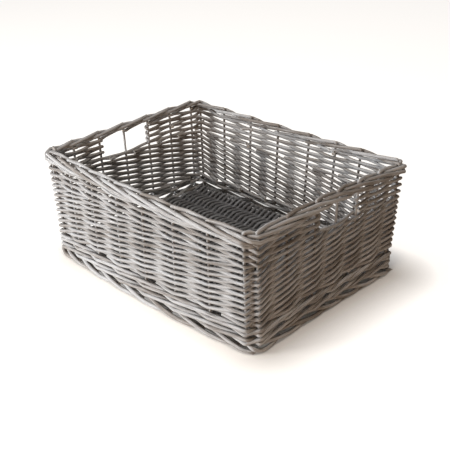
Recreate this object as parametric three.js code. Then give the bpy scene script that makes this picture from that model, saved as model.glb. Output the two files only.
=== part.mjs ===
// A wicker drawer basket: thirty stakes, woven siding, wale, turned-down border and foot, woven base.
// Millimetres. X runs along the long walls, Y along the short ones, +Z is up, the floor is z = 0.
import * as THREE from 'three';

// Outline of the walls at the rim, measured at the line of the stakes, and how much smaller the foot is
const rimLength = 404;
const rimWidth = 287.5;
const flare = 9;
const rimHeight = 166.9;
const cornerCut = 11;

// How far the right rear corner stands out from its square, endwise and sidewise alike
const rearRightFootLean = -4.5;
const rearRightRimLean = 2.5;

// How far each wall bows out at its middle, and how far its rim dips there
const frontRimBow = -1;
const frontFootBow = 8;
const backRimBow = 6.5;
const backFootBow = 3;
const endRimBow = -3;
const endFootBow = -3;
const longRimDip = 6.3;
const endRimDip = 2.4;

// Rods
const stakeRod = 4;
const stakeButt = 5.2;
const borderRod = 4.7;
const waleRod = 3.9;
const weaverAtFoot = 4.65;
const weaverBelowHoles = 3.7;
const weaverAtHoles = 2.6;
const baseStick = 5;
const baseWeaver = 3.8;

// Sides of the rods' sections
const stakeSides = 5;
const weaverSides = 4;
const stickSides = 6;

// Clearances between rods that lie against each other
const seatGap = 0.35;
const rowGap = 0.4;
const buttGap = 0.5;

// Heights
const footHeight = 11;
const holeHeight = 31;
const waleRoundCount = 2;

// Rods pieced end to end in one siding strand
const rodsPerStrandCount = 5;

// Base
const baseStickCount = 9;
const baseWeaverPitch = 4.6;
const stickBends = 6;

// Each wall's stakes between its two corner stakes, as shares of the way round, spaced by hand
const leftStakeShares = [0.178, 0.353, 0.531, 0.705, 0.876];
const frontStakeShares = [0.107, 0.238, 0.38, 0.521, 0.676, 0.842];
const rightStakeShares = [0.194, 0.395, 0.543, 0.694, 0.845];
const backStakeShares = [0.163, 0.281, 0.412, 0.57, 0.717, 0.864];

// The stakes on either side of a handle hole, counted along an end wall from its first corner stake
const holeFirstIndex = 2;
const holeLastIndex = 4;

// The border: stakes passed, then the way out from the stakes and the drop from the rim in rods
const borderShares = [
  [0.5, -0.83, 0],
  [1, -1.01, 1.15],
  [1.5, 0.115, 0.97],
  [2, 1.16, 0.37],
  [3, 1.35, 1.9],
  [4, -1.01, 2.17],
  [4.3, -0.6, 2.32],
];

// The foot: stakes passed, then the way out and the height of the rod's middle over the floor rods
const footShares = [
  [0.5, 0.87, 0.6],
  [1, 1, 0],
  [1.5, -0.3, 0],
];
const borderDepthShare = 2.3;

// The wale: where a rod is cut beside its stake, and the share of its level before and after that it has in a corner
const waleButtShare = 0.02;
const cornerRiseShare = 0.75;

// A base weaver's turn over and round an edge stick: the way past the stick and over it, as shares of its seat
const turnShares = [[0.45, 1.12], [1.05, 0.45]];

const elbowShare = 0.9;
const bendShare = 0.8;
const cornerMiddle = 0.5;

// Strands run round the basket counter-clockwise, from the rear end of the left wall
const left = {
  name: 'left', from: [-1, 1], to: [-1, -1], shares: leftStakeShares,
  rimBow: endRimBow, footBow: endFootBow, dip: endRimDip, ends: ['left_rear', 'left_front'],
};
const front = {
  name: 'front', from: [-1, -1], to: [1, -1], shares: frontStakeShares,
  rimBow: frontRimBow, footBow: frontFootBow, dip: longRimDip, ends: ['front_left', 'front_right'],
};
const right = {
  name: 'right', from: [1, -1], to: [1, 1], shares: rightStakeShares,
  rimBow: endRimBow, footBow: endFootBow, dip: endRimDip, ends: ['right_front', 'right_rear'],
};
const back = {
  name: 'back', from: [1, 1], to: [-1, 1], shares: backStakeShares,
  rimBow: backRimBow, footBow: backFootBow, dip: longRimDip, ends: ['back_right', 'back_left'],
};
const walls = [left, front, right, back];

// The stakes in order, each with the wall it belongs to and its share of the way along that wall
const stakes = walls.flatMap((wall) => [
  { wall, share: 0, name: `corner_stake_${wall.ends[0]}` },
  ...wall.shares.map((share, i) => ({ wall, share, name: `stake_${wall.name}_${i + 1}` })),
  { wall, share: 1, name: `corner_stake_${wall.ends[1]}` },
]);
const stakeCount = stakes.length;
const wrap = (index) => ((index % stakeCount) + stakeCount) % stakeCount;
const lerp = THREE.MathUtils.lerp;
const clamp = THREE.MathUtils.clamp;

// Heights that follow from the sizes
const borderSeat = (stakeRod + borderRod) / 2 + seatGap;
const borderStep = borderRod + seatGap;
const borderTop = rimHeight - borderRod / 2;
const sidingTop = borderTop - borderDepthShare * borderStep - borderRod / 2 - seatGap;
const waleStep = waleRod + seatGap;
const waleMiddle = footHeight + waleStep + waleRod / 2;
const waleStrandCount = 3;
const waleRoundHeight = waleStrandCount * waleStep;
const waleTop = waleMiddle + (waleRoundCount - 1) * waleRoundHeight + waleStep + waleRod / 2 + seatGap;
const sidingHeight = sidingTop - waleTop;

// A corner of the walls in plan, as high up as the share of the rim's height
function cornerPlan([endwise, sidewise], rise) {
  const halfLength = lerp(rimLength - flare, rimLength, rise) / 2;
  const halfWidth = lerp(rimWidth - flare, rimWidth, rise) / 2;
  const atRearRight = endwise > 0 && sidewise > 0;
  const lean = atRearRight ? lerp(rearRightFootLean, rearRightRimLean, rise) : 0;
  return new THREE.Vector2(endwise * halfLength + lean, sidewise * halfWidth + lean);
}

// A stake's place in plan at a height, without any offset
function stakePlan(index, height) {
  const { wall, share } = stakes[wrap(index)];
  const rise = height / rimHeight;
  const start = cornerPlan(wall.from, rise);
  const end = cornerPlan(wall.to, rise);
  const along = end.clone().sub(start).normalize();
  start.addScaledVector(along, cornerCut);
  end.addScaledVector(along, -cornerCut);
  const bow = lerp(wall.footBow, wall.rimBow, rise) * (1 - (2 * share - 1) ** 2);
  const outward = new THREE.Vector2(along.y, -along.x);
  return start.lerp(end, share).addScaledVector(outward, bow);
}

// The way out at a stake, long enough to keep its distance from both of the gaps beside it
function stakeOutward(index, height) {
  const here = stakePlan(index, height);
  const before = here.clone().sub(stakePlan(index - 1, height)).normalize();
  const after = stakePlan(index + 1, height).sub(here).normalize();
  const normals = new THREE.Vector2(before.y + after.y, -before.x - after.x);
  return normals.divideScalar(1 + before.dot(after));
}

// A height as it is at the corners, let down where the rim dips
function dippedHeight(index, level) {
  const { wall, share } = stakes[wrap(index)];
  const dip = wall.dip * (1 - (2 * share - 1) ** 2);
  return level - dip * clamp((level - waleTop) / sidingHeight, 0, 1);
}

// A point of the wall: around counts stakes, out is the offset from the stakes, level the height
function onStake(index, out, level) {
  const height = dippedHeight(index, level);
  const plan = stakePlan(index, height).addScaledVector(stakeOutward(index, height), out);
  return new THREE.Vector3(plan.x, plan.y, height);
}
function onWall(around, out, level) {
  const index = Math.floor(around);
  return onStake(index, out, level).lerp(onStake(index + 1, out, level), around - index);
}

// The way out from the wall at a place, and the level way along it
function wallFrame(around, level) {
  const middle = onWall(around, 0, level);
  const out = onWall(around, 1, level).sub(middle).normalize();
  const along = new THREE.Vector3(0, 0, 1).cross(out);
  return { middle, out, along };
}

// The corners of a rod's section: weavers pack closely as squares, the others have a flat on top
function sectionCorners(sides, thickness) {
  const radius = sides === weaverSides ? thickness * Math.SQRT1_2 : thickness / 2;
  return Array.from({ length: sides }, (_, i) => {
    const angle = Math.PI / 2 + ((2 * i + 1) * Math.PI) / sides;
    return [radius * Math.cos(angle), radius * Math.sin(angle)];
  });
}

// One closed rod through its stations: each has a middle, a thickness, and the two axes of its section
function rodGeometry(stations, sides) {
  const positions = [];
  for (const { middle, thickness, across, upward } of stations) {
    for (const [a, b] of sectionCorners(sides, thickness)) {
      const corner = middle.clone().addScaledVector(across, a).addScaledVector(upward, b);
      positions.push(corner.x, corner.y, corner.z);
    }
  }
  const faces = [];
  for (let ring = 0; ring < stations.length - 1; ring += 1) {
    for (let i = 0; i < sides; i += 1) {
      const a = ring * sides + i;
      const b = ring * sides + ((i + 1) % sides);
      faces.push(a, a + sides, b, b, a + sides, b + sides);
    }
  }
  const last = (stations.length - 1) * sides;
  for (let i = 1; i < sides - 1; i += 1) {
    faces.push(0, i, i + 1, last, last + i + 1, last + i);
  }
  const geometry = new THREE.BufferGeometry();
  geometry.setAttribute('position', new THREE.Float32BufferAttribute(positions, 3));
  geometry.setIndex(faces);
  geometry.computeVertexNormals();
  return geometry;
}

// A station of a stake: turn is the angle of its way over the level, 90 degrees where it stands
function stakeStation(around, out, level, thickness, turn) {
  const { out: across, along } = wallFrame(around, level);
  const upward = along.clone().multiplyScalar(-Math.sin(turn));
  upward.z = Math.cos(turn);
  return { middle: onWall(around, out, level), thickness, across, upward };
}

// A stake from the tip of its foot to the tip of its border end
function stakeGeometry(index) {
  const floorLevel = (stakeButt / 2) * Math.cos(Math.PI / stakeSides);
  const footSeat = (stakeRod + stakeButt) / 2 + seatGap;
  const footRise = stakeButt + seatGap;
  const quarter = Math.PI / 2;
  const foot = footShares.map(([passed, outShare, riseShare]) => {
    const level = floorLevel + riseShare * footRise;
    return stakeStation(index + passed, outShare * footSeat, level, stakeButt, 2 * quarter);
  });
  const border = borderShares.map(([passed, outShare, dropShare]) => {
    const level = borderTop - dropShare * borderStep;
    return stakeStation(index + passed, outShare * borderSeat, level, borderRod, 0);
  });
  const footElbow = footHeight - (elbowShare * stakeRod) / 2;
  return rodGeometry([
    ...foot.reverse(),
    stakeStation(index, 0, footElbow, stakeRod, 1.5 * quarter),
    stakeStation(index, 0, borderTop - bendShare * borderStep, stakeRod, quarter),
    stakeStation(index, 0, borderTop, borderRod, quarter / 2),
    ...border,
  ], stakeSides);
}

// A band of siding rows: the even number of rows that fits, from its thickest weaver up to its thinnest
function rowBand(from, to, thickest, thinnest) {
  const pitches = [thickest + rowGap, thinnest + rowGap];
  const mean = (pitches[0] + pitches[1]) / 2;
  const count = 2 * Math.max(1, Math.floor((to - from) / (2 * mean)));
  const stretch = (to - from) / (count * mean);
  const levelAt = (rows) => {
    const thinned = ((pitches[1] - pitches[0]) * rows ** 2) / (2 * count);
    return from + stretch * (pitches[0] * rows + thinned);
  };
  const thicknessAt = (rows) => lerp(thickest, thinnest, rows / count);
  return { count, levelAt, thicknessAt };
}

// Rows run right round below the holes, and between the holes above that
const ringBand = rowBand(waleTop, sidingTop - holeHeight, weaverAtFoot, weaverBelowHoles);
const holeBand = rowBand(sidingTop - holeHeight, sidingTop, weaverAtHoles, weaverAtHoles);
const ringRows = ringBand.count;
const holeRows = holeBand.count;

// The level and the weaver of a row, counted from the wale, also part of the way to the next
function rowLevel(row) {
  const rows = row + 0.5;
  return rows < ringRows ? ringBand.levelAt(rows) : holeBand.levelAt(rows - ringRows);
}
function weaverAt(row) {
  const rows = row + 0.5;
  return rows < ringRows ? ringBand.thicknessAt(rows) : holeBand.thicknessAt(rows - ringRows);
}

// Strands keep level for most of a round and climb in two gaps of the back wall, before its last gap
const climbEnd = stakeCount - 2;
const climbStart = climbEnd - 2;
function roundsClimbed(around) {
  const rounds = Math.floor(around / stakeCount);
  const rest = around - rounds * stakeCount;
  return rounds + clamp((rest - climbStart) / (climbEnd - climbStart), 0, 1);
}

// The way out from a stake for a rod that bends round it on one side, taut from stake before to stake after
function tautOutward(index, height, sides, seat) {
  const normal = (first) => {
    const here = stakePlan(index + first, height);
    const span = stakePlan(index + first + 1, height).sub(here);
    const lean = ((sides[first + 1] - sides[first + 2]) * seat) / span.length();
    span.normalize();
    return new THREE.Vector2(span.y, -span.x).multiplyScalar(Math.sqrt(1 - lean ** 2)).addScaledVector(span, lean);
  };
  const before = normal(-1);
  const after = normal(0);
  return before.clone().add(after).divideScalar(1 + before.dot(after));
}

// A station of a rod where it bends round a stake: sideAt tells front (1) or behind (-1) at a stake
function tautStation(index, sideAt, level, thickness) {
  const height = dippedHeight(index, level);
  const seat = (stakeRod + thickness) / 2 + seatGap;
  const sides = [sideAt(index - 1), sideAt(index), sideAt(index + 1)];
  const outward = tautOutward(index, height, sides, seat);
  const plan = stakePlan(index, height).addScaledVector(outward, sides[1] * seat);
  return {
    middle: new THREE.Vector3(plan.x, plan.y, height),
    thickness,
    across: new THREE.Vector3(outward.x, outward.y, 0),
    upward: new THREE.Vector3(0, 0, 1),
  };
}

// A station part of the way from one station to the next, where a rod is cut across
function stationBetween(a, b, part) {
  const run = b.middle.clone().sub(a.middle).setZ(0).normalize();
  return {
    middle: a.middle.clone().lerp(b.middle, part),
    thickness: lerp(a.thickness, b.thickness, part),
    across: new THREE.Vector3(run.y, -run.x, 0),
    upward: a.upward,
  };
}

// A weaver changes sides at every stake
const weaverSide = (phase) => (stop) => (wrap(stop + phase) % 2 === 0 ? 1 : -1);

// A siding rod below the holes: one of two strands that chase each other, two rows for each round
function sidingRodGeometry(strand, from, to) {
  const station = (around) => {
    const row = strand + 2 * roundsClimbed(around);
    return tautStation(around, weaverSide(strand), rowLevel(row), weaverAt(row));
  };
  const cut = (around) => {
    const stop = Math.floor(around);
    return stationBetween(station(stop), station(stop + 1), around - stop);
  };
  const stations = [cut(from)];
  for (let stop = Math.ceil(from); stop < to; stop += 1) {
    stations.push(station(stop));
  }
  stations.push(cut(to));
  return rodGeometry(stations, weaverSides);
}

// A rod beside the holes: it runs to and fro between two hole stakes and turns round each of them
function holeRowRodGeometry(firstStake, lastStake) {
  const stations = [];
  for (let step = 0; step < holeRows; step += 1) {
    const row = ringRows + step;
    const thickness = weaverAt(row);
    const forwards = step % 2 === 0;
    for (let i = 0; i <= lastStake - firstStake; i += 1) {
      const stop = forwards ? firstStake + i : lastStake - i;
      const station = tautStation(stop, weaverSide(row), rowLevel(row), thickness);
      station.across.multiplyScalar(forwards ? 1 : -1);
      stations.push(station);
    }
    if (step < holeRows - 1) {
      stations.push(...turnStations(forwards ? lastStake : firstStake, forwards, row, thickness));
    }
  }
  return rodGeometry(stations, weaverSides);
}

// The turn round a hole stake, up to the next row on the stake's other side
function turnStations(stake, forwards, row, thickness) {
  const radius = (stakeRod + thickness) / 2 + seatGap;
  const start = weaverSide(row)(stake);
  const way = forwards ? 1 : -1;
  return [1, 2, 3].map((quarter) => {
    const angle = (quarter * Math.PI) / 4;
    const level = lerp(rowLevel(row), rowLevel(row + 1), quarter / 4);
    const { middle, out, along } = wallFrame(stake, level);
    const spoke = out.multiplyScalar(start * Math.cos(angle)).addScaledVector(along, way * Math.sin(angle));
    const across = spoke.clone().multiplyScalar(start * way);
    return { middle: middle.addScaledVector(spoke, radius), thickness, across, upward: new THREE.Vector3(0, 0, 1) };
  });
}

// A wale rod: behind one stake and in front of two, rising from the lower to the upper of the front pair
function waleRodGeometry(round, strand) {
  const strokes = [[-1, 0], [1, -waleStep], [1, waleStep]];
  const stroke = (stop) => strokes[wrap(stop - strand) % waleStrandCount];
  const sideAt = (stop) => stroke(stop)[0];
  const level = waleMiddle + round * waleRoundHeight;
  const station = (stop) => tautStation(stop, sideAt, level + stroke(stop)[1], waleRod);
  const end = strand + stakeCount;
  const stations = [stationBetween(station(strand), station(strand + 1), waleButtShare)];
  for (let stop = strand + 1; stop < end; stop += 1) {
    stations.push(station(stop));
    if (stakes[wrap(stop)].share === 1) {
      const corner = stationBetween(station(stop), station(stop + 1), cornerMiddle);
      corner.middle.z = level + cornerRiseShare * (stroke(stop)[1] + stroke(stop + 1)[1]);
      stations.push(corner);
    }
  }
  stations.push(stationBetween(station(end), station(end - 1), waleButtShare));
  stations[stations.length - 1].across.negate();
  return rodGeometry(stations, stakeSides);
}

// The base fills the walls at the height of the first wale round
const baseInset = stakeRod / 2 + waleRod + 2 * seatGap;
const stickSeat = (baseStick + baseWeaver) / 2 + seatGap;
const edgeInset = baseInset + stickSeat + baseWeaver / 2;

// Where the line of the stakes crosses a given length or width of the base
function wallCrossing(wall, axis, value) {
  const other = axis === 'x' ? 'y' : 'x';
  const first = stakes.findIndex((stake) => stake.wall === wall);
  for (let i = first; i < first + wall.shares.length + 1; i += 1) {
    const a = stakePlan(i, waleMiddle);
    const b = stakePlan(i + 1, waleMiddle);
    const part = (value - a[axis]) / (b[axis] - a[axis]);
    if (part >= 0 && part <= 1) {
      return lerp(a[other], b[other], part);
    }
  }
  const nearest = value * (stakePlan(first, waleMiddle)[axis]) > 0 ? first : first + wall.shares.length + 1;
  return stakePlan(nearest, waleMiddle)[other];
}
const stickY = (stick, x) => lerp(
  wallCrossing(front, 'x', x) + edgeInset,
  wallCrossing(back, 'x', x) - edgeInset,
  stick / (baseStickCount - 1),
);

// A base stick, from the wale on the left wall to the wale on the right wall
function baseStickGeometry(stick) {
  const leftEnd = wallCrossing(left, 'y', stickY(stick, -rimLength / 2)) + baseInset;
  const rightEnd = wallCrossing(right, 'y', stickY(stick, rimLength / 2)) - baseInset;
  const stations = Array.from({ length: stickBends }, (_, i) => {
    const x = lerp(leftEnd, rightEnd, i / (stickBends - 1));
    return {
      middle: new THREE.Vector3(x, stickY(stick, x), waleMiddle),
      thickness: baseStick,
      across: new THREE.Vector3(0, -1, 0),
      upward: new THREE.Vector3(0, 0, 1),
    };
  });
  return rodGeometry(stations, stickSides);
}

// The base weaver: to and fro over and under the sticks, round each edge stick to the next pass
function baseWeaverGeometry() {
  const reach = Math.min(
    -wallCrossing(left, 'y', 0) - baseInset,
    wallCrossing(right, 'y', 0) - baseInset,
  ) - baseWeaver / 2 - seatGap;
  const passes = Math.floor((2 * reach) / baseWeaverPitch) + 1;
  const stations = [];
  const station = (x, y, height, turn) => ({
    middle: new THREE.Vector3(x, y, waleMiddle + height),
    thickness: baseWeaver,
    across: new THREE.Vector3(1, 0, 0),
    upward: new THREE.Vector3(0, -Math.sin(turn), Math.cos(turn)),
  });
  for (let pass = 0; pass < passes; pass += 1) {
    const x = lerp(-reach, reach, pass / (passes - 1));
    const forwards = pass % 2 === 0;
    const way = forwards ? 1 : -1;
    for (let i = pass === 0 ? 0 : 1; i < baseStickCount - 1; i += 1) {
      const stick = forwards ? i : baseStickCount - 1 - i;
      const side = (stick + pass) % 2 === 0 ? 1 : -1;
      stations.push(station(x, stickY(stick, x), side * stickSeat, forwards ? 0 : Math.PI));
    }
    const edge = forwards ? baseStickCount - 1 : 0;
    const side = (edge + pass) % 2 === 0 ? 1 : -1;
    const turn = [...turnShares, ...turnShares.map(([past, over]) => [past, -over]).reverse()];
    turn.slice(0, pass < passes - 1 ? turn.length : 1).forEach(([past, over], i) => {
      const part = i / (turn.length - 1);
      const turned = lerp(-reach, reach, (pass + part) / (passes - 1));
      const angle = -side * way * Math.PI * part + (forwards ? 0 : Math.PI);
      stations.push(station(turned, stickY(edge, turned) + way * past * stickSeat, side * over * stickSeat, angle));
    });
  }
  return rodGeometry(stations, weaverSides);
}

const group = new THREE.Group();

function addRod(name, geometry, color) {
  const material = new THREE.MeshStandardMaterial({ color, roughness: 0.85, metalness: 0 });
  const mesh = new THREE.Mesh(geometry, material);
  mesh.name = name;
  group.add(mesh);
}

stakes.forEach((stake, index) => addRod(stake.name, stakeGeometry(index), '#b3a89d'));

// Each of the two siding strands is pieced from rods of equal reach, which butt between two stakes
const sidingRounds = ringRows / 2;
const strandEnd = (sidingRounds - 1) * stakeCount + climbStart;
for (let piece = 0; piece < rodsPerStrandCount; piece += 1) {
  const reach = (sidingRounds * stakeCount) / rodsPerStrandCount;
  for (const strand of [0, 1]) {
    const from = piece * reach - cornerMiddle;
    const stop = Math.floor(from + reach);
    const stakeGap = stakePlan(stop, waleTop).distanceTo(stakePlan(stop + 1, waleTop));
    const to = Math.min(from + reach - buttGap / stakeGap, strandEnd);
    addRod(`siding_rod_${2 * piece + strand + 1}`, sidingRodGeometry(strand, from, to), '#a79b90');
  }
}

const rightWallStart = stakes.findIndex((stake) => stake.wall === right);
addRod('hole_row_rod_front', holeRowRodGeometry(holeLastIndex, rightWallStart + holeFirstIndex), '#a1958a');
addRod(
  'hole_row_rod_back',
  holeRowRodGeometry(rightWallStart + holeLastIndex, stakeCount + holeFirstIndex),
  '#a1958a',
);

for (let round = 0; round < waleRoundCount; round += 1) {
  for (let strand = 0; strand < waleStrandCount; strand += 1) {
    addRod(`wale_rod_${waleStrandCount * round + strand + 1}`, waleRodGeometry(round, strand), '#ada297');
  }
}
for (let stick = 0; stick < baseStickCount; stick += 1) {
  addRod(`base_stick_${stick + 1}`, baseStickGeometry(stick), '#8d8175');
}
addRod('base_weaver', baseWeaverGeometry(), '#948a80');

// The middle of the outline stands over the origin
const middle = new THREE.Box3().setFromObject(group).getCenter(new THREE.Vector3());
group.position.set(-middle.x, -middle.y, 0);

export default group;
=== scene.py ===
import math
import random

import bpy
from mathutils import Matrix, Vector, noise


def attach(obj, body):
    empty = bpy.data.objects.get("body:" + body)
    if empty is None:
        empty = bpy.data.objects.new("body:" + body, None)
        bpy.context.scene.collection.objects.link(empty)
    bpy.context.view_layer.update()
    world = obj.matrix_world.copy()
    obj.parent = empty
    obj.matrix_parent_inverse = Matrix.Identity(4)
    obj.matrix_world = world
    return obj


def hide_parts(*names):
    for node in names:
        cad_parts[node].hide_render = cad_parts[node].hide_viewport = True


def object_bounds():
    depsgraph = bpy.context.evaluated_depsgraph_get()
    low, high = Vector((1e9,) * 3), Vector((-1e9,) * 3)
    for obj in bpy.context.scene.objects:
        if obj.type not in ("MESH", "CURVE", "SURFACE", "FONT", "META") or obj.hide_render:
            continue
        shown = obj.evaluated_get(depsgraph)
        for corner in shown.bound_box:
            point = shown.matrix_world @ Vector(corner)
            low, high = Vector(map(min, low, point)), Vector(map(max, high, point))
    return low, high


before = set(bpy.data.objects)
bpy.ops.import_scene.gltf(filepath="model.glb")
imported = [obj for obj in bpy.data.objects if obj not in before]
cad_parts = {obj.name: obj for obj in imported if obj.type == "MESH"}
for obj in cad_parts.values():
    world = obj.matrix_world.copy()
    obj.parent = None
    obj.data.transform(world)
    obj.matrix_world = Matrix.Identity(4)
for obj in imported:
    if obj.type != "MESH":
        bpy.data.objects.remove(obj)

mm = 0.001
cadBox = [list(corner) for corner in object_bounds()]
print("frame loaded:", len(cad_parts), "nodes")


# The basket's walls in millimetres: the CAD's sizes, with the rims' dips measured again in the photo

basket = {
    "rimLength": 404, "rimWidth": 287.5, "flare": 9, "rimHeight": 166.9, "cornerCut": 11,
    "stakeRod": 4, "borderRod": 4.7, "waleRod": 3.9, "rowGap": 0.4, "seatGap": 0.35,
    "borderSteps": 2.3,             # how many rods the border is high, under its top one
    "footHeight": 11, "holeHeight": 31, "waleRounds": 2, "waleStrands": 3,
    "rearRightLean": (-4.5, 2.5),   # how far that corner stands out, at the foot and at the rim
    "middle": (-0.97, -2.09),       # where the walls' middle lies from the outline's middle
    "holeStakes": (2, 4),           # the stakes beside a handle hole, counted along an end wall
}
# bow is out in a wall's middle, dip is down, and shares are the stakes' places along it
walls = [
    {"name": "left", "start": (-1, 1), "end": (-1, -1), "rimBow": -3, "footBow": -3, "dip": -2.2,
     "ends": ("left_rear", "left_front"), "shares": (0.178, 0.353, 0.531, 0.705, 0.876)},
    {"name": "front", "start": (-1, -1), "end": (1, -1), "rimBow": -1, "footBow": 8, "dip": 6.3,
     "ends": ("front_left", "front_right"), "shares": (0.107, 0.238, 0.38, 0.521, 0.676, 0.842)},
    {"name": "right", "start": (1, -1), "end": (1, 1), "rimBow": -3, "footBow": -3, "dip": -2.2,
     "ends": ("right_front", "right_rear"), "shares": (0.194, 0.395, 0.543, 0.694, 0.845)},
    {"name": "back", "start": (1, 1), "end": (-1, 1), "rimBow": 6.5, "footBow": 3, "dip": 4.5,
     "ends": ("back_right", "back_left"), "shares": (0.163, 0.281, 0.412, 0.57, 0.717, 0.864)},
]
stakes = []
for wall in walls:
    stakes.append({"wall": wall, "share": 0, "name": f"corner_stake_{wall['ends'][0]}"})
    for number, share in enumerate(wall["shares"], 1):
        stakes.append({"wall": wall, "share": share, "name": f"stake_{wall['name']}_{number}"})
    stakes.append({"wall": wall, "share": 1, "name": f"corner_stake_{wall['ends'][1]}"})
stakeCount = len(stakes)


def mix(a, b, part):
    return a + (b - a) * part


def clamp(value, low=0.0, high=1.0):
    return max(low, min(high, value))


borderStep = basket["borderRod"] + basket["seatGap"]
borderTop = basket["rimHeight"] - basket["borderRod"] / 2
sidingTop = borderTop - basket["borderSteps"] * borderStep - basket["borderRod"] / 2 - basket["seatGap"]
waleStep = basket["waleRod"] + basket["seatGap"]
waleMiddle = basket["footHeight"] + waleStep + basket["waleRod"] / 2
waleRoundHeight = basket["waleStrands"] * waleStep
waleTop = waleMiddle + waleRoundHeight + waleStep + basket["waleRod"] / 2 + basket["seatGap"]
sidingHeight = sidingTop - waleTop


def cornerPlan(corner, rise):
    halfLength = (basket["rimLength"] - basket["flare"] * (1 - rise)) / 2
    halfWidth = (basket["rimWidth"] - basket["flare"] * (1 - rise)) / 2
    lean = mix(*basket["rearRightLean"], rise) if corner == (1, 1) else 0
    return Vector((corner[0] * halfLength + lean, corner[1] * halfWidth + lean))


def stakePlan(index, height):
    # where a stake stands in plan at a height
    stake = stakes[index % stakeCount]
    wall, share = stake["wall"], stake["share"]
    rise = height / basket["rimHeight"]
    start, end = cornerPlan(wall["start"], rise), cornerPlan(wall["end"], rise)
    along = (end - start).normalized()
    start += along * basket["cornerCut"]
    end -= along * basket["cornerCut"]
    bow = mix(wall["footBow"], wall["rimBow"], rise) * (1 - (2 * share - 1) ** 2)
    return start.lerp(end, share) + Vector((along.y, -along.x)) * bow


def dippedHeight(index, level):
    # the rim and the rows under it hang a little between the corners
    stake = stakes[index % stakeCount]
    dip = stake["wall"]["dip"] * (1 - (2 * stake["share"] - 1) ** 2)
    return level - dip * clamp((level - waleTop) / sidingHeight)


def outwardAt(index, height):
    here = stakePlan(index, height)
    before = (here - stakePlan(index - 1, height)).normalized()
    after = (stakePlan(index + 1, height) - here).normalized()
    return Vector((before.y + after.y, -before.x - after.x)) / (1 + before.dot(after))


def inFrame(plan, height):
    return Vector((plan.x + basket["middle"][0], plan.y + basket["middle"][1], height))


def onStake(index, out, level):
    height = dippedHeight(index, level)
    return inFrame(stakePlan(index, height) + outwardAt(index, height) * out, height)


def onWall(around, out, level):
    # a place on the wall: around counts stakes, out is the way out from them, level the height
    index = math.floor(around)
    return onStake(index, out, level).lerp(onStake(index + 1, out, level), around - index)


def tautPlace(index, sideAt, level, seat):
    # where a rod bends that is drawn tight round a stake, in front of it (1) or behind it (-1)
    height = dippedHeight(index, level)
    side = sideAt(index)

    def normalOf(first, second):
        span = stakePlan(second, height) - stakePlan(first, height)
        lean = (sideAt(first) - sideAt(second)) * seat / span.length
        span.normalize()
        return Vector((span.y, -span.x)) * math.sqrt(1 - lean ** 2) + span * lean

    before, after = normalOf(index - 1, index), normalOf(index, index + 1)
    outward = (before + after) / (1 + before.dot(after))
    return inFrame(stakePlan(index, height) + outward * (side * seat), height)


def straighten(points, widths, bend):
    # rods run straight from stake to stake and bend only near them
    straight, kept = [points[0]], [widths[0]]
    for i in range(1, len(points)):
        for part in (bend, 1 - bend):
            straight.append(points[i - 1].lerp(points[i], part))
            kept.append(mix(widths[i - 1], widths[i], part))
        straight.append(points[i])
        kept.append(widths[i])
    return straight, kept


# Small unevenness of a hand-made wall: neighbouring rows share it, so they stay apart

unevenness = {
    # waves for each stake passed, waves for each millimetre up, and a place of its own in the noise
    "loose": (0.55, 0.035, 3.7), "fine": (1.3, 0.09, 9.1),
    "fineShare": 0.5,
}


def heave(around, level, size):
    loose, fine = (noise.noise(Vector((around * across, level * up, apart)))
                   for across, up, apart in (unevenness["loose"], unevenness["fine"]))
    return Vector((0, 0, (loose + unevenness["fineShare"] * fine) * size))


# Rods as paths: a list of points, a thickness at each, and a tint for the whole rod

class RodPaths:
    def __init__(self):
        self.points, self.edges, self.radii, self.tints = [], [], [], []

    def add(self, points, thicknesses, tint):
        first = len(self.points)
        self.points += [point * mm for point in points]
        self.edges += [(first + i, first + i + 1) for i in range(len(points) - 1)]
        self.radii += [thickness * mm / 2 for thickness in thicknesses]
        self.tints += [tint] * len(points)

    def meshObject(self, name):
        mesh = bpy.data.meshes.new(name)
        mesh.from_pydata(self.points, self.edges, [])
        for key, values in (("rodRadius", self.radii), ("rodTint", self.tints)):
            mesh.attributes.new(key, "FLOAT", "POINT").data.foreach_set("value", values)
        made = bpy.data.objects.new(name, mesh)
        bpy.context.scene.collection.objects.link(made)
        return made


# Short ways to add a node: a number becomes a setting, an output becomes a link

def setInput(tree, socket, value):
    if isinstance(value, bpy.types.NodeSocket):
        tree.links.new(value, socket)
    else:
        socket.default_value = value


def calculate(tree, operation, a, b):
    made = tree.nodes.new("ShaderNodeMath")
    made.operation = operation
    setInput(tree, made.inputs[0], a)
    setInput(tree, made.inputs[1], b)
    return made.outputs[0]


def combine(tree, x, y, z=0.0):
    made = tree.nodes.new("ShaderNodeCombineXYZ")
    for socket, value in zip(made.inputs, (x, y, z)):
        setInput(tree, socket, value)
    return made.outputs[0]


def vectorStep(tree, operation, a, b=(0, 0, 0)):
    made = tree.nodes.new("ShaderNodeVectorMath")
    made.operation = operation
    tree.links.new(a, made.inputs[0])
    made.inputs[1].default_value = b
    return made.outputs["Value" if operation == "LENGTH" else "Vector"]


def stepped(tree, value, low, high, kind="SMOOTHSTEP"):
    # 0 at low, 1 at high
    made = tree.nodes.new("ShaderNodeMapRange")
    made.interpolation_type = kind
    tree.links.new(value, made.inputs["Value"])
    made.inputs["From Min"].default_value = low
    made.inputs["From Max"].default_value = high
    return made.outputs[0]


def noiseAt(tree, place, dimensions, detail, roughness=0.5):
    made = tree.nodes.new("ShaderNodeTexNoise")
    made.noise_dimensions = dimensions
    made.inputs["Scale"].default_value = 1
    made.inputs["Detail"].default_value = detail
    made.inputs["Roughness"].default_value = roughness
    tree.links.new(place, made.inputs["Vector"])
    return made.outputs[0]


# The tree that turns paths into rods

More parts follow.
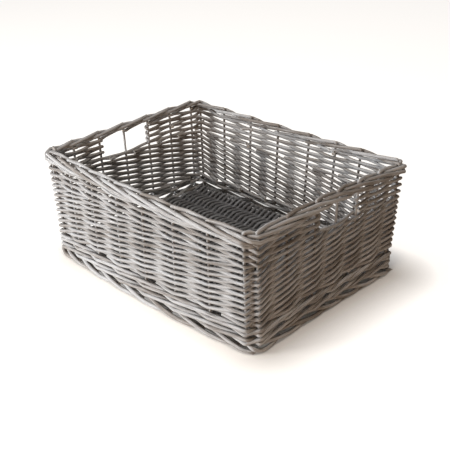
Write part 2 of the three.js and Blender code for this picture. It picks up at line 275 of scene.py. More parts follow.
rodLook = {
    "Ring step": 2.5 * mm, "Sides": 10,
    "Unevenness": 0.06, "Knots": 0.12,     # share by which a rod swells, and that a knot adds
    "Surface": 0.12 * mm, "Seed": 0.0,     # how high its ridges are
}
rodNoise = {
    "swells": 22.0, "buds": 14.0, "ridges": 70.0,   # for each metre of rod
    "ridgesAround": 1.6,
    "swellDetail": 2.0, "ridgeDetail": 3.0,
    "budEdge": (0.1, 0.02),                         # how far from a bud its knot starts and is full
    "rodApart": 40.0, "budApart": 3.1, "ridgeApart": 90.0,   # keeps one rod's noise from another's
}


def socketIdentifier(tree, name):
    return next(item.identifier for item in tree.interface.items_tree if item.name == name)


def makeRodTree():
    tree = bpy.data.node_groups.new("rodAlongPath", "GeometryNodeTree")
    tree.interface.new_socket("Geometry", in_out="INPUT", socket_type="NodeSocketGeometry")
    for name, value in rodLook.items():
        kind = "NodeSocketInt" if isinstance(value, int) else "NodeSocketFloat"
        tree.interface.new_socket(name, in_out="INPUT", socket_type=kind).default_value = value
    tree.interface.new_socket("Material", in_out="INPUT", socket_type="NodeSocketMaterial")
    tree.interface.new_socket("Geometry", in_out="OUTPUT", socket_type="NodeSocketGeometry")
    links = tree.links

    def node(kind, **settings):
        made = tree.nodes.new(kind)
        for key, value in settings.items():
            setattr(made, key, value)
        return made

    def math2(operation, a, b):
        return calculate(tree, operation, a, b)

    def named(name, kind="FLOAT"):
        made = node("GeometryNodeInputNamedAttribute", data_type=kind)
        made.inputs["Name"].default_value = name
        return made.outputs["Attribute"]

    def store(name, kind, geometry, value):
        made = node("GeometryNodeStoreNamedAttribute", data_type=kind, domain="POINT")
        made.inputs["Name"].default_value = name
        links.new(geometry, made.inputs["Geometry"])
        links.new(value, made.inputs["Value"])
        return made.outputs["Geometry"]

    def centred(value, size):
        # noise from 0 to 1 becomes a way from -size to size
        return math2("MULTIPLY", math2("SUBTRACT", value, 0.5), math2("MULTIPLY", size, 2.0))

    source, target = node("NodeGroupInput"), node("NodeGroupOutput")

    # path to a smooth curve with even steps
    curve = node("GeometryNodeMeshToCurve")
    links.new(source.outputs["Geometry"], curve.inputs["Mesh"])
    smooth = node("GeometryNodeCurveSplineType", spline_type="CATMULL_ROM")
    links.new(curve.outputs["Curve"], smooth.inputs["Curve"])
    resample = node("GeometryNodeResampleCurve", mode="LENGTH")
    links.new(smooth.outputs["Curve"], resample.inputs["Curve"])
    links.new(source.outputs["Ring step"], resample.inputs["Length"])

    # place along the rod, and how far from its nearer end
    along = node("GeometryNodeSplineParameter").outputs["Length"]
    whole = node("GeometryNodeSplineLength").outputs["Length"]
    measured = store("alongRod", "FLOAT", resample.outputs["Curve"], along)
    nearer = math2("MINIMUM", along, math2("SUBTRACT", whole, along))
    measured = store("fromEnd", "FLOAT", measured, nearer)

    # thickness: the rod's own, a slow swell, and knots where buds were
    ownPlace = math2("MULTIPLY", named("rodTint"), rodNoise["rodApart"])
    apart = math2("ADD", ownPlace, source.outputs["Seed"])
    place = combine(tree, math2("MULTIPLY", along, rodNoise["swells"]), apart)
    swell = centred(noiseAt(tree, place, "2D", rodNoise["swellDetail"]), source.outputs["Unevenness"])
    bud = node("ShaderNodeTexVoronoi", voronoi_dimensions="2D", feature="F1")
    bud.inputs["Scale"].default_value = 1
    budPlace = combine(tree, math2("MULTIPLY", along, rodNoise["buds"]),
                       math2("MULTIPLY", apart, rodNoise["budApart"]))
    links.new(budPlace, bud.inputs["Vector"])
    atBud = stepped(tree, bud.outputs["Distance"], *rodNoise["budEdge"])
    knot = math2("MULTIPLY", atBud, source.outputs["Knots"])
    setRadius = node("GeometryNodeSetCurveRadius")
    links.new(measured, setRadius.inputs["Curve"])
    links.new(math2("MULTIPLY", named("rodRadius"), math2("ADD", 1.0, math2("ADD", swell, knot))),
              setRadius.inputs["Radius"])

    # round section; its unit circle is kept on the surface for the grain
    circle = node("GeometryNodeCurvePrimitiveCircle", mode="RADIUS")
    circle.inputs["Radius"].default_value = 1
    links.new(source.outputs["Sides"], circle.inputs["Resolution"])
    onCircle = node("GeometryNodeInputPosition").outputs[0]
    ring = store("ringPlace", "FLOAT_VECTOR", circle.outputs["Curve"], onCircle)
    sweep = node("GeometryNodeCurveToMesh")
    sweep.inputs["Fill Caps"].default_value = True
    links.new(setRadius.outputs["Curve"], sweep.inputs["Curve"])
    links.new(ring, sweep.inputs["Profile Curve"])
    if "Scale" in sweep.inputs:
        links.new(node("GeometryNodeInputRadius").outputs[0], sweep.inputs["Scale"])

    # the ridged surface of peeled wood
    split = node("ShaderNodeSeparateXYZ")
    links.new(named("ringPlace", "FLOAT_VECTOR"), split.inputs[0])
    across = [math2("MULTIPLY", split.outputs[axis], rodNoise["ridgesAround"]) for axis in ("X", "Y")]
    upwards = math2("ADD", math2("MULTIPLY", named("alongRod"), rodNoise["ridges"]),
                    math2("MULTIPLY", named("rodTint"), rodNoise["ridgeApart"]))
    ridge = noiseAt(tree, combine(tree, *across, upwards), "3D", rodNoise["ridgeDetail"])
    shift = node("ShaderNodeVectorMath", operation="SCALE")
    links.new(node("GeometryNodeInputNormal").outputs[0], shift.inputs[0])
    links.new(centred(ridge, source.outputs["Surface"]), shift.inputs["Scale"])
    ridged = node("GeometryNodeSetPosition")
    links.new(sweep.outputs["Mesh"], ridged.inputs["Geometry"])
    links.new(shift.outputs[0], ridged.inputs["Offset"])

    shade = node("GeometryNodeSetShadeSmooth")
    links.new(ridged.outputs["Geometry"], shade.inputs["Geometry"])
    realize = node("GeometryNodeRealizeInstances")
    links.new(shade.outputs["Geometry"], realize.inputs["Geometry"])
    setMaterial = node("GeometryNodeSetMaterial")
    links.new(realize.outputs["Geometry"], setMaterial.inputs["Geometry"])
    links.new(source.outputs["Material"], setMaterial.inputs["Material"])
    links.new(setMaterial.outputs["Geometry"], target.inputs["Geometry"])
    return tree


# Washed willow: long grain, brown under a pale wash, dark cracks, pale cut ends

willow = {
    "wash": (0.60, 0.59, 0.59), "wood": (0.28, 0.24, 0.21), "pale": (0.80, 0.765, 0.73),
    "crack": (0.03, 0.025, 0.022), "cutEnd": (0.85, 0.81, 0.76),
    "washCover": 0.66, "differ": 0.22,     # how much the wash covers, and how much rods differ in that
    "roughness": 0.68, "specular": 0.3, "bump": 0.5, "bumpHeight": 0.0004, "crackDepth": 0.6,
    # grain: waves round the rod and for each metre along it, detail, and how far apart rods lie in it
    "fibre": (3.2, 45.0, 4.0, 60.0),       # streaks, long along the rod
    "patch": (0.7, 16.0, 3.0, 71.0),       # where the wash is worn thin
    "drying": (5.5, 30.0, 2.0, 83.0),      # drying cracks
    "grainRoughness": 0.6,
    "fibreWear": 0.9, "patchWear": 0.7, "washEdge": (1.15, 1.65),
    "paleEdge": (0.56, 0.72), "paleShare": 0.35,
    "crackEdge": (0.40, 0.31), "crackShare": 0.85,
    "endLength": 0.0009, "endShare": 0.9,
}


def makeWillow(name, changes=None):
    values = {**willow, **(changes or {})}
    material = bpy.data.materials.new(name)
    material.use_nodes = True
    tree = material.node_tree
    nodes, links = tree.nodes, tree.links
    shader = nodes["Principled BSDF"]
    shader.inputs["Roughness"].default_value = values["roughness"]
    shader.inputs["Specular IOR Level"].default_value = values["specular"]

    def attribute(key, output="Fac"):
        made = nodes.new("ShaderNodeAttribute")
        made.attribute_name = key
        return made.outputs[output]

    def math2(operation, a, b):
        return calculate(tree, operation, a, b)

    along, tint = attribute("alongRod"), attribute("rodTint")
    split = nodes.new("ShaderNodeSeparateXYZ")
    links.new(attribute("ringPlace", "Vector"), split.inputs[0])

    def grain(key):
        aroundScale, alongScale, detail, apart = values[key]
        across = [math2("MULTIPLY", split.outputs[axis], aroundScale) for axis in ("X", "Y")]
        upwards = math2("ADD", math2("MULTIPLY", along, alongScale), math2("MULTIPLY", tint, apart))
        return noiseAt(tree, combine(tree, *across, upwards), "3D", detail, values["grainRoughness"])

    def blend(factor, a, b):
        made = nodes.new("ShaderNodeMix")
        made.data_type = "RGBA"
        links.new(factor, made.inputs["Factor"])
        for socket, value in ((made.inputs[6], a), (made.inputs[7], b)):
            setInput(tree, socket, (*value, 1) if isinstance(value, tuple) else value)
        return made.outputs[2]

    # the wash covers most of the wood, less on some rods
    fibre = grain("fibre")
    differ = math2("MULTIPLY", math2("SUBTRACT", tint, 0.5), values["differ"])
    worn = math2("ADD", math2("MULTIPLY", fibre, values["fibreWear"]),
                 math2("MULTIPLY", grain("patch"), values["patchWear"]))
    washEdge = (edge - values["washCover"] for edge in values["washEdge"])
    cover = stepped(tree, math2("ADD", worn, differ), *washEdge)
    color = blend(cover, values["wood"], values["wash"])
    pale = math2("MULTIPLY", stepped(tree, fibre, *values["paleEdge"]), values["paleShare"])
    color = blend(pale, color, values["pale"])
    cracked = stepped(tree, grain("drying"), *values["crackEdge"])
    cracks = math2("MULTIPLY", cracked, values["crackShare"])
    color = blend(cracks, color, values["crack"])
    atEnd = stepped(tree, attribute("fromEnd"), values["endLength"], 0, "LINEAR")
    color = blend(math2("MULTIPLY", atEnd, values["endShare"]), color, values["cutEnd"])
    links.new(color, shader.inputs["Base Color"])

    bump = nodes.new("ShaderNodeBump")
    bump.inputs["Strength"].default_value = values["bump"]
    bump.inputs["Distance"].default_value = values["bumpHeight"]
    height = math2("SUBTRACT", fibre, math2("MULTIPLY", cracks, values["crackDepth"]))
    links.new(height, bump.inputs["Height"])
    links.new(bump.outputs[0], shader.inputs["Normal"])
    return material


rodTree = makeRodTree()


def finishRods(paths, name, replaced, material, changes=None):
    # paths to one mesh of rods, which stands for the frame's nodes of the same rods
    made = paths.meshObject(name + "_paths")
    modifier = made.modifiers.new("rods", "NODES")
    modifier.node_group = rodTree
    for key, value in {**rodLook, "Material": material, **(changes or {})}.items():
        modifier[socketIdentifier(rodTree, key)] = value
    evaluated = made.evaluated_get(bpy.context.evaluated_depsgraph_get())
    mesh = bpy.data.meshes.new_from_object(evaluated)
    mesh.name = name
    made.modifiers.clear()
    bpy.data.objects.remove(made)
    piece = bpy.data.objects.new(name, mesh)
    bpy.context.scene.collection.objects.link(piece)
    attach(piece, "root")
    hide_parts(*replaced)


stakeWillow = makeWillow("stakeWillow", {"washCover": 0.68, "differ": 0.4})
sidingWillow = makeWillow("sidingWillow")
# the base's willow is a darker, bluer copy of the walls' willow: painted shade for the base, which lies
# in the walls' shade
baseWillowPaintedShade = makeWillow("baseWillowPaintedShade", {
    "washCover": 0.5, "wash": (0.40, 0.41, 0.43), "wood": (0.15, 0.14, 0.14)})
print("willow ready")


# Stakes: foot rod, upright and border rod in one

stakeShape = {
    # stakes passed, way out, drop from the rim
    "border": ((0.4, -4.3, 0.7), (1, -5.1, 3.7), (1.2, -2.9, 5.6), (1.5, 0.6, 4.3), (1.75, 3.2, 3.1),
               (2, 5.2, 2.8), (2.5, 6.6, 6), (3, 7.3, 9), (3.4, 6.2, 10.8), (3.7, 2, 10.6),
               (3.95, -3.8, 10.2), (4.06, -4.4, 9.8)),
    # stakes passed, way out, height over the rods on the floor
    "foot": ((1.8, -2, 0), (1.5, 3.4, 0), (1.15, 5.2, 0), (0.85, 5.2, 1.2), (0.5, 4.6, 4.8),
             (0.22, 1.8, 6.6)),
    "borderRod": 4.9, "footRod": 5.5, "upright": 3.6,   # how thick a stake is in each of them
    "butt": 0.85, "tip": 0.7,              # share of that at its two ends
    "overFoot": 1,                         # where it stands up, over the foot border
    "uprightLevels": (30, 60, 90, 120),    # heights that it passes
    "underRim": (1.6, 0.8),                # and the last ones, in rods under the top one
    "footLift": 0.45,                      # keeps swollen foot rods on the floor
    "cornerPush": 3,                       # how far rods stand out further round a corner
    "bend": 0.2,                           # share of a straight run that its bends take
    "seed": 5,
}


def shapeAt(shape, passed):
    # way out and height of a foot or border rod, part of the way between two of its places
    ordered = sorted(shape)
    for (a, outA, upA), (b, outB, upB) in zip(ordered, ordered[1:]):
        if a <= passed <= b:
            part = (passed - a) / (b - a)
            return mix(outA, outB, part), mix(upA, upB, part)


def cornersPassed(index, shape):
    # where a rod lies in the middle of a corner's gap
    first, last = min(place[0] for place in shape), max(place[0] for place in shape)
    corners = [stop for stop in range(math.ceil(last))
               if stakes[(index + stop) % stakeCount]["share"] == 1]
    return [corner + 0.5 for corner in corners if first <= corner + 0.5 <= last]


def alongWall(index, shape, levelOf):
    corners = cornersPassed(index, shape)
    ordered = sorted({place[0] for place in shape} | set(corners), reverse=shape[0][0] > shape[-1][0])
    places = []
    for passed in ordered:
        out, up = shapeAt(shape, passed)
        push = stakeShape["cornerPush"] * clamp(out / basket["stakeRod"]) if passed in corners else 0
        places.append(onWall(index + passed, out + push, levelOf(up)))
    return places


def stakePath(index):
    footRod, borderRod = stakeShape["footRod"], stakeShape["borderRod"]
    floorLevel = footRod / 2 + stakeShape["footLift"]
    foot = alongWall(index, stakeShape["foot"], lambda up: floorLevel + up)
    footWidths = [footRod * stakeShape["butt"]] + [footRod] * (len(foot) - 1)
    levels = [basket["footHeight"] + stakeShape["overFoot"], *stakeShape["uprightLevels"],
              *(borderTop - steps * borderStep for steps in stakeShape["underRim"])]
    upright = [onWall(index, 0, level) for level in levels]
    border = [onWall(index, 0, borderTop)]
    border += alongWall(index, stakeShape["border"], lambda drop: borderTop - drop)
    widths = [borderRod] * (len(border) - 2) + [borderRod * stakeShape["tip"]]
    border, widths = straighten(border, [basket["borderRod"]] + widths, stakeShape["bend"])
    return foot + upright + border, footWidths + [stakeShape["upright"]] * len(upright) + widths


dice = random.Random(stakeShape["seed"])
for index, stake in enumerate(stakes):
    paths = RodPaths()
    paths.add(*stakePath(index), dice.random())
    finishRods(paths, stake["name"] + "_rod", [stake["name"]], stakeWillow)
print("stakes made")


# Siding: climbing rods below the handle holes, and rows to and fro beside them

siding = {
    "pairs": 5,                   # the frame's siding rods come in pairs, one for each strand
    "ringRows": 21, "holeRows": 7, "seed": 11,
    "weaver": (4.5, 4.2, 4.25),   # thickness at the foot, under the holes and beside them
    "sill": 3.2,                  # how far the rows reach up into the handle holes
    "underBorder": 4,             # and behind the border
    "heave": 1.0,                 # how far rows wander up and down
    "overStake": 0.1,             # thicker by this much at a stake
    "atCrossing": 0.3,            # and by this much where the rows cross
    "press": 0.2,                 # how far a weaver presses into a stake
    # a rod's way across a gap: share of the gap, share of its way out kept, share of its thickening
    "crossing": ((0.08, 0.93, 0), (0.3, 0.57, 0.5), (0.5, 0, 1), (0.7, -0.57, 0.5), (0.92, -0.93, 0)),
    "cornerStep": 2.4,            # how far rows rise at a corner's first stake and drop at its second
    "stakesPerRod": (11, 15), "fewestStakes": 3,   # stakes that a level rod passes
    "tail": 8,                    # how far its ends reach past their last stake, inside
    "startIn": (0.5, 0.4), "endIn": 0.2,           # and how far in they lie, as shares of the thickness
    "climb": 2,                   # rows that a climbing rod gains from stake to stake
    "tuck": 0.7,                  # share of a gap over which its ends run, inside
    "tuckDrop": 3.5,              # how much lower it starts
    "tuckRise": 2.2,              # and how much higher it ends
    "taper": 0.09,                # how much thinner a rod's tip is than its middle
    "uneven": 0.06,               # how much rods differ in thickness
    "turnSteps": 4,               # bends in a turn round a hole's stake
}


def bandOf(row):
    # rows get thinner upwards, in one band below the handle holes and one beside them
    rows = row + 0.5
    atFoot, belowHoles, atHoles = siding["weaver"]
    holeFoot = sidingTop - basket["holeHeight"] + siding["sill"]
    if rows < siding["ringRows"]:
        return waleTop, holeFoot, siding["ringRows"], atFoot, belowHoles, rows
    top = sidingTop + siding["underBorder"]
    return holeFoot, top, siding["holeRows"], belowHoles, atHoles, rows - siding["ringRows"]


def rowLevel(row):
    low, high, count, thick, thin, rows = bandOf(row)
    pitches = thick + basket["rowGap"], thin + basket["rowGap"]
    stretch = (high - low) / (count * sum(pitches) / 2)
    return low + stretch * (pitches[0] * rows + (pitches[1] - pitches[0]) * rows ** 2 / (2 * count))


def weaverAt(row):
    _, _, count, thick, thin, rows = bandOf(row)
    return mix(thick, thin, rows / count)


def seatOf(row):
    return (stakeShape["upright"] + weaverAt(row)) / 2 - siding["press"]


def weaverSide(row):
    # in front of every other stake, and the next row in front of the others
    return lambda stop: 1 if (stop + row) % 2 == 0 else -1


def cornerStep(stop):
    # the rods lie flatter between the two stakes of a corner
    share = stakes[stop % stakeCount]["share"]
    return siding["cornerStep"] * ((share == 1) - (share == 0))


class Weave:
    # a weaver's bends in order: place, thickness, and the way in where it lies behind a stake
    def __init__(self):
        self.places, self.widths, self.inwards = [], [], []

    def passStake(self, stop, row):
        side = weaverSide(row)
        level, seat = rowLevel(row) + cornerStep(stop), seatOf(row)
        place = tautPlace(stop, side, level, seat) + heave(stop % stakeCount, level, siding["heave"])
        out = outwardAt(stop, level)
        if self.places:
            self.cross(place, weaverAt(row) + siding["atCrossing"], out * -side(stop) * seat)
        inward = Vector((-out.x, -out.y, 0)) if side(stop) < 0 else None
        self.bend(place, weaverAt(row) + siding["overStake"], inward)

    def cross(self, place, width, seat):
        before, widthBefore = self.places[-1], self.widths[-1]
        for part, kept, share in siding["crossing"]:
            shift = seat * (kept - (1 - 2 * part))
            between = before.lerp(place, part) + Vector((shift.x, shift.y, 0))
            self.bend(between, mix(widthBefore, width, share))

    def bend(self, place, width, inward=None):
        self.places.append(place)
        self.widths.append(width)
        self.inwards.append(inward)

    def join(self, other):
        self.places += other.places
        self.widths += other.widths
        self.inwards += other.inwards

    def lay(self, paths, dice):
        # cut the weaver into rods that end inside, behind a stake
        bendsPerStake = len(siding["crossing"]) + 1
        last = len(self.places) - 1
        start = 0
        while start < last:
            end = min(last, start + bendsPerStake * dice.randint(*siding["stakesPerRod"]))
            while end < last and self.inwards[end] is None:
                end += 1
            if last - end < bendsPerStake * siding["fewestStakes"]:
                end = last
            places = [place.copy() for place in self.places[start:end + 1]]
            size = 1 + siding["uneven"] * dice.uniform(-1, 1)
            count = len(places) - 1
            widths = [width * size * (1 + siding["taper"] * (1 - 2 * i / count))
                      for i, width in enumerate(self.widths[start:end + 1])]
            inward = self.inwards[start]
            if inward:
                atStake, atTail = siding["startIn"]
                places[0] += inward * widths[0] * atStake
                way = (places[0] - places[1]).normalized()
                places.insert(0, places[0] + way * siding["tail"] + inward * widths[0] * atTail)
                widths.insert(0, widths[0])
            inward = self.inwards[end]
            if inward:
                way = (places[-1] - places[-2]).normalized()
                places.append(places[-1] + way * siding["tail"] + inward * widths[-1] * siding["endIn"])
                widths.append(widths[-1])
            paths.add(places, widths, dice.random())
            start = end


def climbingRod(start, rows):
    # one rod from the wale up, with both ends hidden inside
    def tuckedPlace(way, row, rise):
        return onWall(stop + way * siding["tuck"], -seatOf(row), rowLevel(row) + rise)

    weave = Weave()
    for stop, row in enumerate(rows, start):
        if stop == start:
            weave.bend(tuckedPlace(-1, row, -siding["tuckDrop"]), weaverAt(row))
        weave.passStake(stop, row)
    end = tuckedPlace(1, row, siding["tuckRise"])
    if weaverSide(row)(stop) > 0:
        weave.cross(end, weaverAt(row), outwardAt(stop, rowLevel(row)) * seatOf(row))
    weave.bend(end, weaverAt(row))
    return weave


def turnRound(weave, stop, row, way):
    # from one row to the next round a stake beside a hole
    begin = weaverSide(row)(stop)
    width = weave.widths[-1]
    for step in range(1, siding["turnSteps"]):
        part = step / siding["turnSteps"]
        level = mix(rowLevel(row), rowLevel(row + 1), part)
        middle = onWall(stop, 0, level)
        out = (onWall(stop, 1, level) - middle).normalized()
        along = Vector((0, 0, 1)).cross(out)
        spoke = out * begin * math.cos(part * math.pi) + along * way * math.sin(part * math.pi)
        weave.bend(middle + spoke * seatOf(row), width)


dice = random.Random(siding["seed"])
topRow = siding["ringRows"] - 1
for strand in range(siding["climb"]):
    paths = RodPaths()
    for start in range(stakeCount):
        climbingRod(start, range(strand, topRow, siding["climb"])).lay(paths, dice)
    if topRow % siding["climb"] == strand:
        # one level row closes the weave under the holes
        weave = Weave()
        for stop in range(stakeCount + 1):
            weave.passStake(stop, topRow)
        weave.lay(paths, dice)
    names = [f"siding_rod_{2 * pair + strand + 1}" for pair in range(siding["pairs"])]
    finishRods(paths, f"siding_strand_{strand + 1}_weave", names, sidingWillow)

firstHole, lastHole = basket["holeStakes"]
rightStart = next(i for i, stake in enumerate(stakes) if stake["wall"]["name"] == "right")
for name, first, last in (("hole_row_rod_front", lastHole, rightStart + firstHole),
                          ("hole_row_rod_back", rightStart + lastHole, stakeCount + firstHole)):
    weave = Weave()
    for step in range(siding["holeRows"]):
        row = siding["ringRows"] + step
        way = 1 if step % 2 == 0 else -1
        run = Weave()
        for stop in range(first, last + 1)[::way]:
            run.passStake(stop, row)
        run.inwards[-1] = None
        weave.join(run)
        if step < siding["holeRows"] - 1:
            turnRound(weave, stop, row, way)
    paths = RodPaths()
    weave.lay(paths, dice)
    finishRods(paths, name + "_weave", [name], sidingWillow)
print("siding woven")


# Wale

wale = {
    "rod": 5.1, "seed": 21,
    "spread": 0.76,    # share of its full height that a strand goes down and up
    "bend": 0.22,      # share of a straight run that its bends take
    # a strand's way past three stakes: behind (-1) or in front (1), and down or up
    "strokes": ((-1, 0), (1, -1), (1, 1)),
}
waleSeat = (basket["stakeRod"] + basket["waleRod"]) / 2 + basket["seatGap"]


def strokeAt(strand, stop):
    return wale["strokes"][(stop - strand) % len(wale["strokes"])]


dice = random.Random(wale["seed"])
for ring in range(basket["waleRounds"]):
    for strand in range(basket["waleStrands"]):
        places = []
        for stop in range(strand, strand + stakeCount + 1):
            rise = strokeAt(strand, stop)[1] * waleStep * wale["spread"]
            level = waleMiddle + ring * waleRoundHeight + rise
            places.append(tautPlace(stop, lambda at: strokeAt(strand, at)[0], level, waleSeat))
        paths = RodPaths()
        paths.add(*straighten(places, [wale["rod"]] * len(places), wale["bend"]), dice.random())
        name = f"wale_rod_{basket['waleStrands'] * ring + strand + 1}"
        finishRods(paths, name + "_weave", [name], stakeWillow)
print("wale woven")


# Base

base = {
    "sticks": 9, "stick": 5, "weaver": 3.8, "pitch": 4.6, "seed": 31,
    "press": 0.3,          # how far the weaver presses into the sticks
    "stickParts": 8,
    "ringStep": 3,         # how far apart the weaver's rings of faces lie
    # a turn round the outermost stick: way past it and height, as shares of the seat
    "turn": ((0.45, 1.12), (1.05, 0.45), (1.05, -0.45), (0.45, -1.12)),
}
baseInset = basket["stakeRod"] / 2 + basket["waleRod"] + 2 * basket["seatGap"]
stickSeat = (base["stick"] + base["weaver"]) / 2 + basket["seatGap"]
edgeInset = baseInset + stickSeat + base["weaver"] / 2


def wallCrossing(wallName, axis, value):
    # how far out a wall's stakes stand at the wale, beside a place along it
    other = 1 - axis
    first = next(i for i, stake in enumerate(stakes) if stake["wall"]["name"] == wallName)
    last = first + len(stakes[first]["wall"]["shares"]) + 1
    for i in range(first, last):
        a, b = stakePlan(i, waleMiddle), stakePlan(i + 1, waleMiddle)
        part = (value - a[axis]) / (b[axis] - a[axis])
        if 0 <= part <= 1:
            return mix(a[other], b[other], part)
    nearest = first if value * stakePlan(first, waleMiddle)[axis] > 0 else last
    return stakePlan(nearest, waleMiddle)[other]


def stickAcross(stick, x):
    low = wallCrossing("front", 0, x) + edgeInset
    high = wallCrossing("back", 0, x) - edgeInset
    return mix(low, high, stick / (base["sticks"] - 1))


def basePlace(x, y, height):
    return inFrame(Vector((x, y)), waleMiddle + height)


def weaverPlaces():
    # to and fro across the sticks, over one and under the next
    halfSpan = min(-wallCrossing("left", 1, 0), wallCrossing("right", 1, 0))
    reach = halfSpan - baseInset - base["weaver"] / 2 - basket["seatGap"]
    last = math.floor(2 * reach / base["pitch"])
    places = []

    def sideOf(stick, run):
        return 1 if (stick + run) % 2 == 0 else -1

    for run in range(last + 1):
        x = mix(-reach, reach, run / last)
        way = 1 if run % 2 == 0 else -1
        order = range(base["sticks"])[::way]
        for stick in order[0 if run == 0 else 1:-1]:
            places.append(basePlace(x, stickAcross(stick, x), sideOf(stick, run) * stickSeat))
        edge = order[-1]
        for i, (past, over) in enumerate(base["turn"] if run < last else base["turn"][:1]):
            turned = mix(-reach, reach, (run + i / (len(base["turn"]) - 1)) / last)
            across = stickAcross(edge, turned) + way * past * stickSeat
            places.append(basePlace(turned, across, sideOf(edge, run) * over * stickSeat))
    return places


dice = random.Random(base["seed"])
for stick in range(base["sticks"]):
    halfLength = basket["rimLength"] / 2
    low = wallCrossing("left", 1, stickAcross(stick, -halfLength)) + baseInset
    high = wallCrossing("right", 1, stickAcross(stick, halfLength)) - baseInset
    xs = [mix(low, high, i / base["stickParts"]) for i in range(base["stickParts"] + 1)]
    paths = RodPaths()
    places = [basePlace(x, stickAcross(stick, x), 0) for x in xs]
    paths.add(places, [base["stick"]] * len(xs), dice.random())
    name = f"base_stick_{stick + 1}"
    finishRods(paths, name + "_rod", [name], baseWillowPaintedShade)

paths = RodPaths()
places = weaverPlaces()
paths.add(places, [base["weaver"] + base["press"]] * len(places), dice.random())
finishRods(paths, "base_weaver_weave", ["base_weaver"], baseWillowPaintedShade,
           {"Ring step": base["ringStep"] * mm})
print("base woven")


# Floor, light and camera

studio = {
    "floorColor": (0.8, 0.75, 0.69), "floorSize": 12.0,
    # the floor's glow for the camera, held back round the basket so that it paints a soft shadow on the
    # paper: how far inside the outline it starts, over what way it grows, how far the painted shadow is
    # shifted, and how far inside the outline the foot hides it
    "glow": (0.8, 0.788, 0.776), "glowStart": 0.037, "paintedShadowFade": 0.083, "paintedShadowShift": (0.014, 0.0, 0),
    "footInset": 0.015,
    "skyColor": (1.0, 0.93, 0.86), "sky": 0.05,
    # lamps: place, aim, size, power, colour
    "lamps": {
        "keyLamp": ((-1.0, -1.7, 0.35), (0, 0, 0.08), 0.7, 40, (0.94, 0.975, 1.0)),
        "topLamp": ((-0.5, -0.5, 1.8), (0, 0, 0), 1.1, 9, (0.97, 0.985, 1.0)),
        "highLamp": ((0.45, -0.25, 1.9), (0, 0, 0), 0.25, 8, (1.0, 0.92, 0.83)),
        "warmLamp": ((2.0, -1.4, 0.55), (0, 0, 0.08), 0.35, 6.8, (1.0, 0.66, 0.4)),
    },
}
camera = {"azimuth": 46.7, "elevation": 26.4, "roll": -2.3, "distance": 1.249, "focal": 876.5,
          "target": (0.0032, 0.0023, 0.058), "picture": 450, "sensor": 36, "nearest": 0.01}


def makeFloor():
    half = studio["floorSize"] / 2
    mesh = bpy.data.meshes.new("floor")
    corners = [(-half, -half, 0), (half, -half, 0), (half, half, 0), (-half, half, 0)]
    mesh.from_pydata(corners, [], [(0, 1, 2, 3)])
    floor = bpy.data.objects.new("floor", mesh)
    bpy.context.scene.collection.objects.link(floor)
    material = bpy.data.materials.new("floorPaper")
    material.use_nodes = True
    tree = material.node_tree
    nodes, links = tree.nodes, tree.links
    nodes.clear()
    paper = nodes.new("ShaderNodeBsdfDiffuse")
    paper.inputs["Color"].default_value = (*studio["floorColor"], 1)
    glow = nodes.new("ShaderNodeEmission")
    glow.inputs["Color"].default_value = (*studio["glow"], 1)

    def wayOutside(place, inset):
        # how far a place lies outside the outline, drawn in a little
        reach = (cadBox[1][0] - inset, cadBox[1][1] - inset, 0)
        past = vectorStep(tree, "SUBTRACT", vectorStep(tree, "ABSOLUTE", place), reach)
        return vectorStep(tree, "LENGTH", vectorStep(tree, "MAXIMUM", past))

    # the glow is held back under and round the basket: a painted shadow on the paper, dark by the foot
    # and white away from it
    place = nodes.new("ShaderNodeTexCoord").outputs["Object"]
    shifted = vectorStep(tree, "SUBTRACT", place, studio["paintedShadowShift"])
    fade = stepped(tree, wayOutside(shifted, studio["glowStart"]), 0, studio["paintedShadowFade"], "LINEAR")
    # none of the glow lies inside the foot rods, where it would shine through their gaps
    beyondFoot = calculate(tree, "GREATER_THAN", wayOutside(place, studio["footInset"]), 0)
    seen = nodes.new("ShaderNodeLightPath").outputs["Is Camera Ray"]
    strength = calculate(tree, "MULTIPLY", seen, calculate(tree, "MULTIPLY", fade, beyondFoot))
    links.new(strength, glow.inputs["Strength"])
    both = nodes.new("ShaderNodeAddShader")
    links.new(paper.outputs[0], both.inputs[0])
    links.new(glow.outputs[0], both.inputs[1])
    end = nodes.new("ShaderNodeOutputMaterial")
    links.new(both.outputs[0], end.inputs["Surface"])
    mesh.materials.append(material)


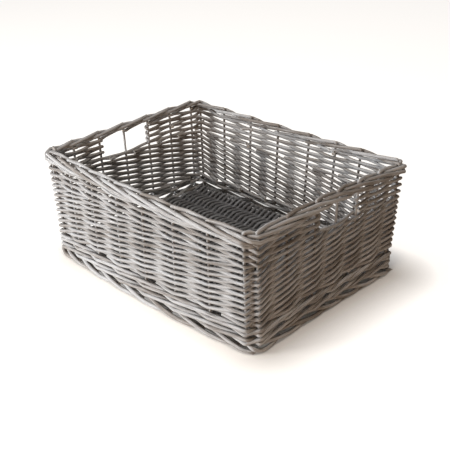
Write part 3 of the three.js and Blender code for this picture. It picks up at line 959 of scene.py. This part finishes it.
def makeWorld():
    # white for the camera, a dim warm sky for everything else
    world = bpy.data.worlds.new("studio")
    bpy.context.scene.world = world
    world.use_nodes = True
    nodes, links = world.node_tree.nodes, world.node_tree.links
    background = nodes["Background"]
    ray = nodes.new("ShaderNodeLightPath")
    strength = nodes.new("ShaderNodeMix")
    strength.data_type = "FLOAT"
    links.new(ray.outputs["Is Camera Ray"], strength.inputs["Factor"])
    strength.inputs[2].default_value = studio["sky"]
    strength.inputs[3].default_value = 1
    tone = nodes.new("ShaderNodeMix")
    tone.data_type = "RGBA"
    links.new(ray.outputs["Is Camera Ray"], tone.inputs["Factor"])
    tone.inputs[6].default_value = (*studio["skyColor"], 1)
    tone.inputs[7].default_value = (1, 1, 1, 1)
    links.new(tone.outputs[2], background.inputs["Color"])
    links.new(strength.outputs[0], background.inputs["Strength"])


def addLamp(name, place, aim, size, power, color):
    lamp = bpy.data.lights.new(name, "AREA")
    lamp.shape = "SQUARE"
    lamp.size = size
    lamp.energy = power
    lamp.color = color
    made = bpy.data.objects.new(name, lamp)
    made.location = place
    made.rotation_euler = (Vector(aim) - Vector(place)).to_track_quat("-Z", "Y").to_euler()
    bpy.context.scene.collection.objects.link(made)


def makeCamera():
    azimuth, elevation, roll = (math.radians(camera[key]) for key in ("azimuth", "elevation", "roll"))
    back = Vector((math.sin(azimuth) * math.cos(elevation), -math.cos(azimuth) * math.cos(elevation),
                   math.sin(elevation)))
    right = Vector((math.cos(azimuth), math.sin(azimuth), 0))
    up = back.cross(right)
    sideways = right * math.cos(roll) + up * math.sin(roll)
    upright = up * math.cos(roll) - right * math.sin(roll)
    lens = bpy.data.cameras.new("camera")
    lens.sensor_width = camera["sensor"]
    lens.lens = camera["focal"] / camera["picture"] * camera["sensor"]
    lens.clip_start = camera["nearest"]
    made = bpy.data.objects.new("camera", lens)
    turn = Matrix((sideways, upright, back)).transposed().to_4x4()
    made.matrix_world = Matrix.Translation(Vector(camera["target"]) + back * camera["distance"]) @ turn
    bpy.context.scene.collection.objects.link(made)
    bpy.context.scene.camera = made


makeFloor()
makeWorld()
for name, lamp in studio["lamps"].items():
    addLamp(name, *lamp)
makeCamera()
bpy.context.scene.view_settings.view_transform = "Standard"
print("studio set")
